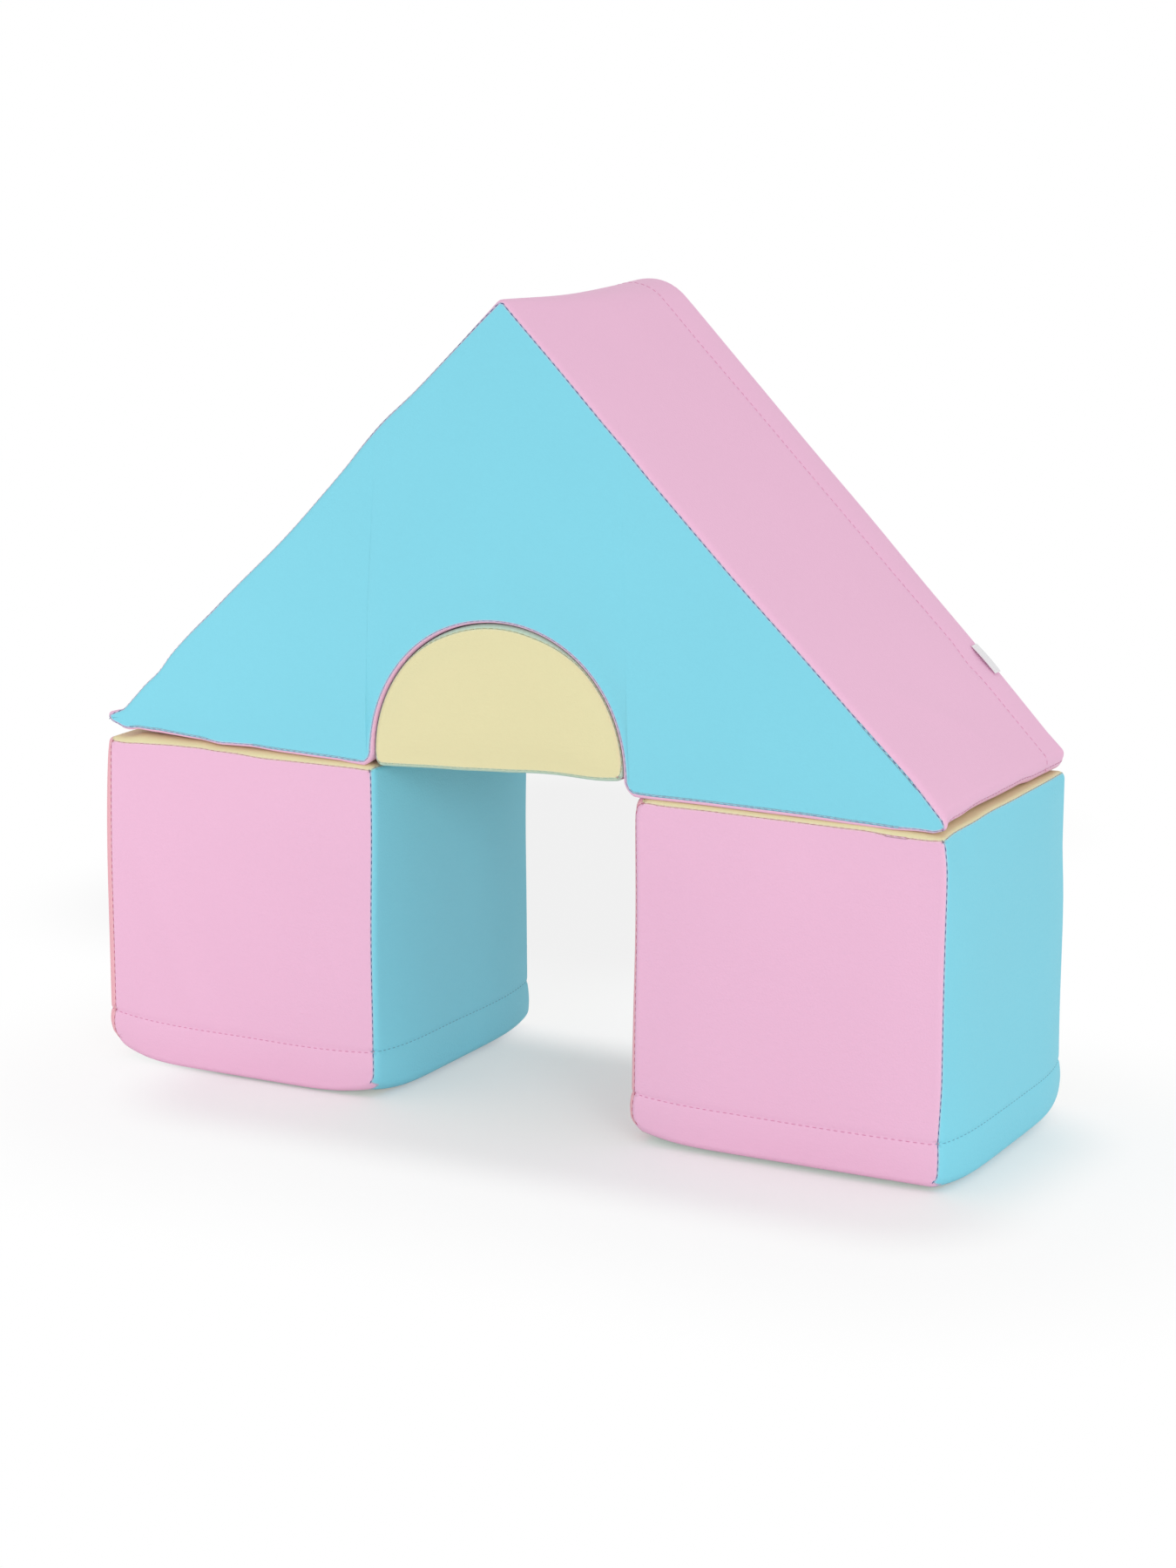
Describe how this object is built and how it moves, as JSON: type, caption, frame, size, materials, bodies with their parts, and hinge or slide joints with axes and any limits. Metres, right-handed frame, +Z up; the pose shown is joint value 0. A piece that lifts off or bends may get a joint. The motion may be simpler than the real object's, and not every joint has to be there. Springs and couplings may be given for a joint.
{
  "type": "soft play house",
  "caption": "Soft play house: foam cubes in sewn leatherette covers carry a gabled roof, and a half-round block fills the roof's arch above a doorway.",
  "frame": {"origin": "on the floor in the middle of the doorway, halfway between the front and the back of the blocks", "axes": "+X to the right along the house's width, -Y towards the front with the yellow half-round face, +Z up"},
  "size_m": [0.8953, 0.3094, 0.7625],
  "materials": {
    "pink_leatherette": "fine grained, satin",
    "blue_leatherette": "fine grained, satin",
    "yellow_leatherette": "fine grained, satin",
    "coral_leatherette": "fine grained, satin",
    "mint_leatherette": "fine grained, satin",
    "upholstery_foam": "open-cell polyurethane foam, matt",
    "zip_tape": "woven tape with moulded teeth, matt",
    "slider_nickel": "nickel-plated",
    "label_satin": "woven satin, blank"
  },
  "bodies": {
    "left_cube": {"left_cube_foam_core": "upholstery_foam", "left_cube_front_panel": "pink_leatherette", "left_cube_back_panel": "mint_leatherette", "left_cube_right_panel": "blue_leatherette", "left_cube_left_panel": "coral_leatherette", "left_cube_top_panel": "yellow_leatherette", "left_cube_base_panel": "mint_leatherette", "left_cube_zip": "zip_tape"},
    "left_cube_zip_slider": {"left_cube_zip_slider": "slider_nickel"},
    "right_cube": {"right_cube_foam_core": "upholstery_foam", "right_cube_front_panel": "pink_leatherette", "right_cube_back_panel": "mint_leatherette", "right_cube_right_panel": "blue_leatherette", "right_cube_left_panel": "coral_leatherette", "right_cube_top_panel": "yellow_leatherette", "right_cube_base_panel": "mint_leatherette", "right_cube_zip": "zip_tape"},
    "right_cube_zip_slider": {"right_cube_zip_slider": "slider_nickel"},
    "roof": {"roof_foam_core": "upholstery_foam", "roof_front_panel": "blue_leatherette", "roof_back_panel": "blue_leatherette", "roof_slope_band": "pink_leatherette", "roof_underside_band": "pink_leatherette", "roof_zip": "zip_tape", "roof_label_tab": "label_satin"},
    "roof_zip_slider": {"roof_zip_slider": "slider_nickel"},
    "half_round": {"half_round_foam_core": "upholstery_foam", "half_round_front_panel": "yellow_leatherette", "half_round_back_panel": "yellow_leatherette", "half_round_arched_band": "mint_leatherette", "half_round_base_band": "mint_leatherette", "half_round_zip": "zip_tape"},
    "half_round_zip_slider": {"half_round_zip_slider": "slider_nickel"}
  },
  "joints": [
    {"name": "roof_lift", "type": "slide", "parent": "left_cube", "child": "roof", "axis": [0, 0, 1], "range_m": [0, 0.35]},
    {"name": "right_cube_slide", "type": "slide", "parent": "left_cube", "child": "right_cube", "axis": [1, 0, 0], "range_m": [0, 0.3]},
    {"name": "half_round_slide", "type": "slide", "parent": "roof", "child": "half_round", "axis": [0, 1, 0], "range_m": [-0.3, 0.3]},
    {"name": "left_cube_zip_run", "type": "slide", "parent": "left_cube", "child": "left_cube_zip_slider", "axis": [1, 0, 0], "range_m": [0, 0.2188]},
    {"name": "right_cube_zip_run", "type": "slide", "parent": "right_cube", "child": "right_cube_zip_slider", "axis": [1, 0, 0], "range_m": [0, 0.2188]},
    {"name": "roof_zip_run", "type": "slide", "parent": "roof", "child": "roof_zip_slider", "axis": [1, 0, 0], "range_m": [0, 0.4088]},
    {"name": "half_round_zip_run", "type": "slide", "parent": "half_round", "child": "half_round_zip_slider", "axis": [1, 0, 0], "range_m": [0, 0.1388]}
  ]
}
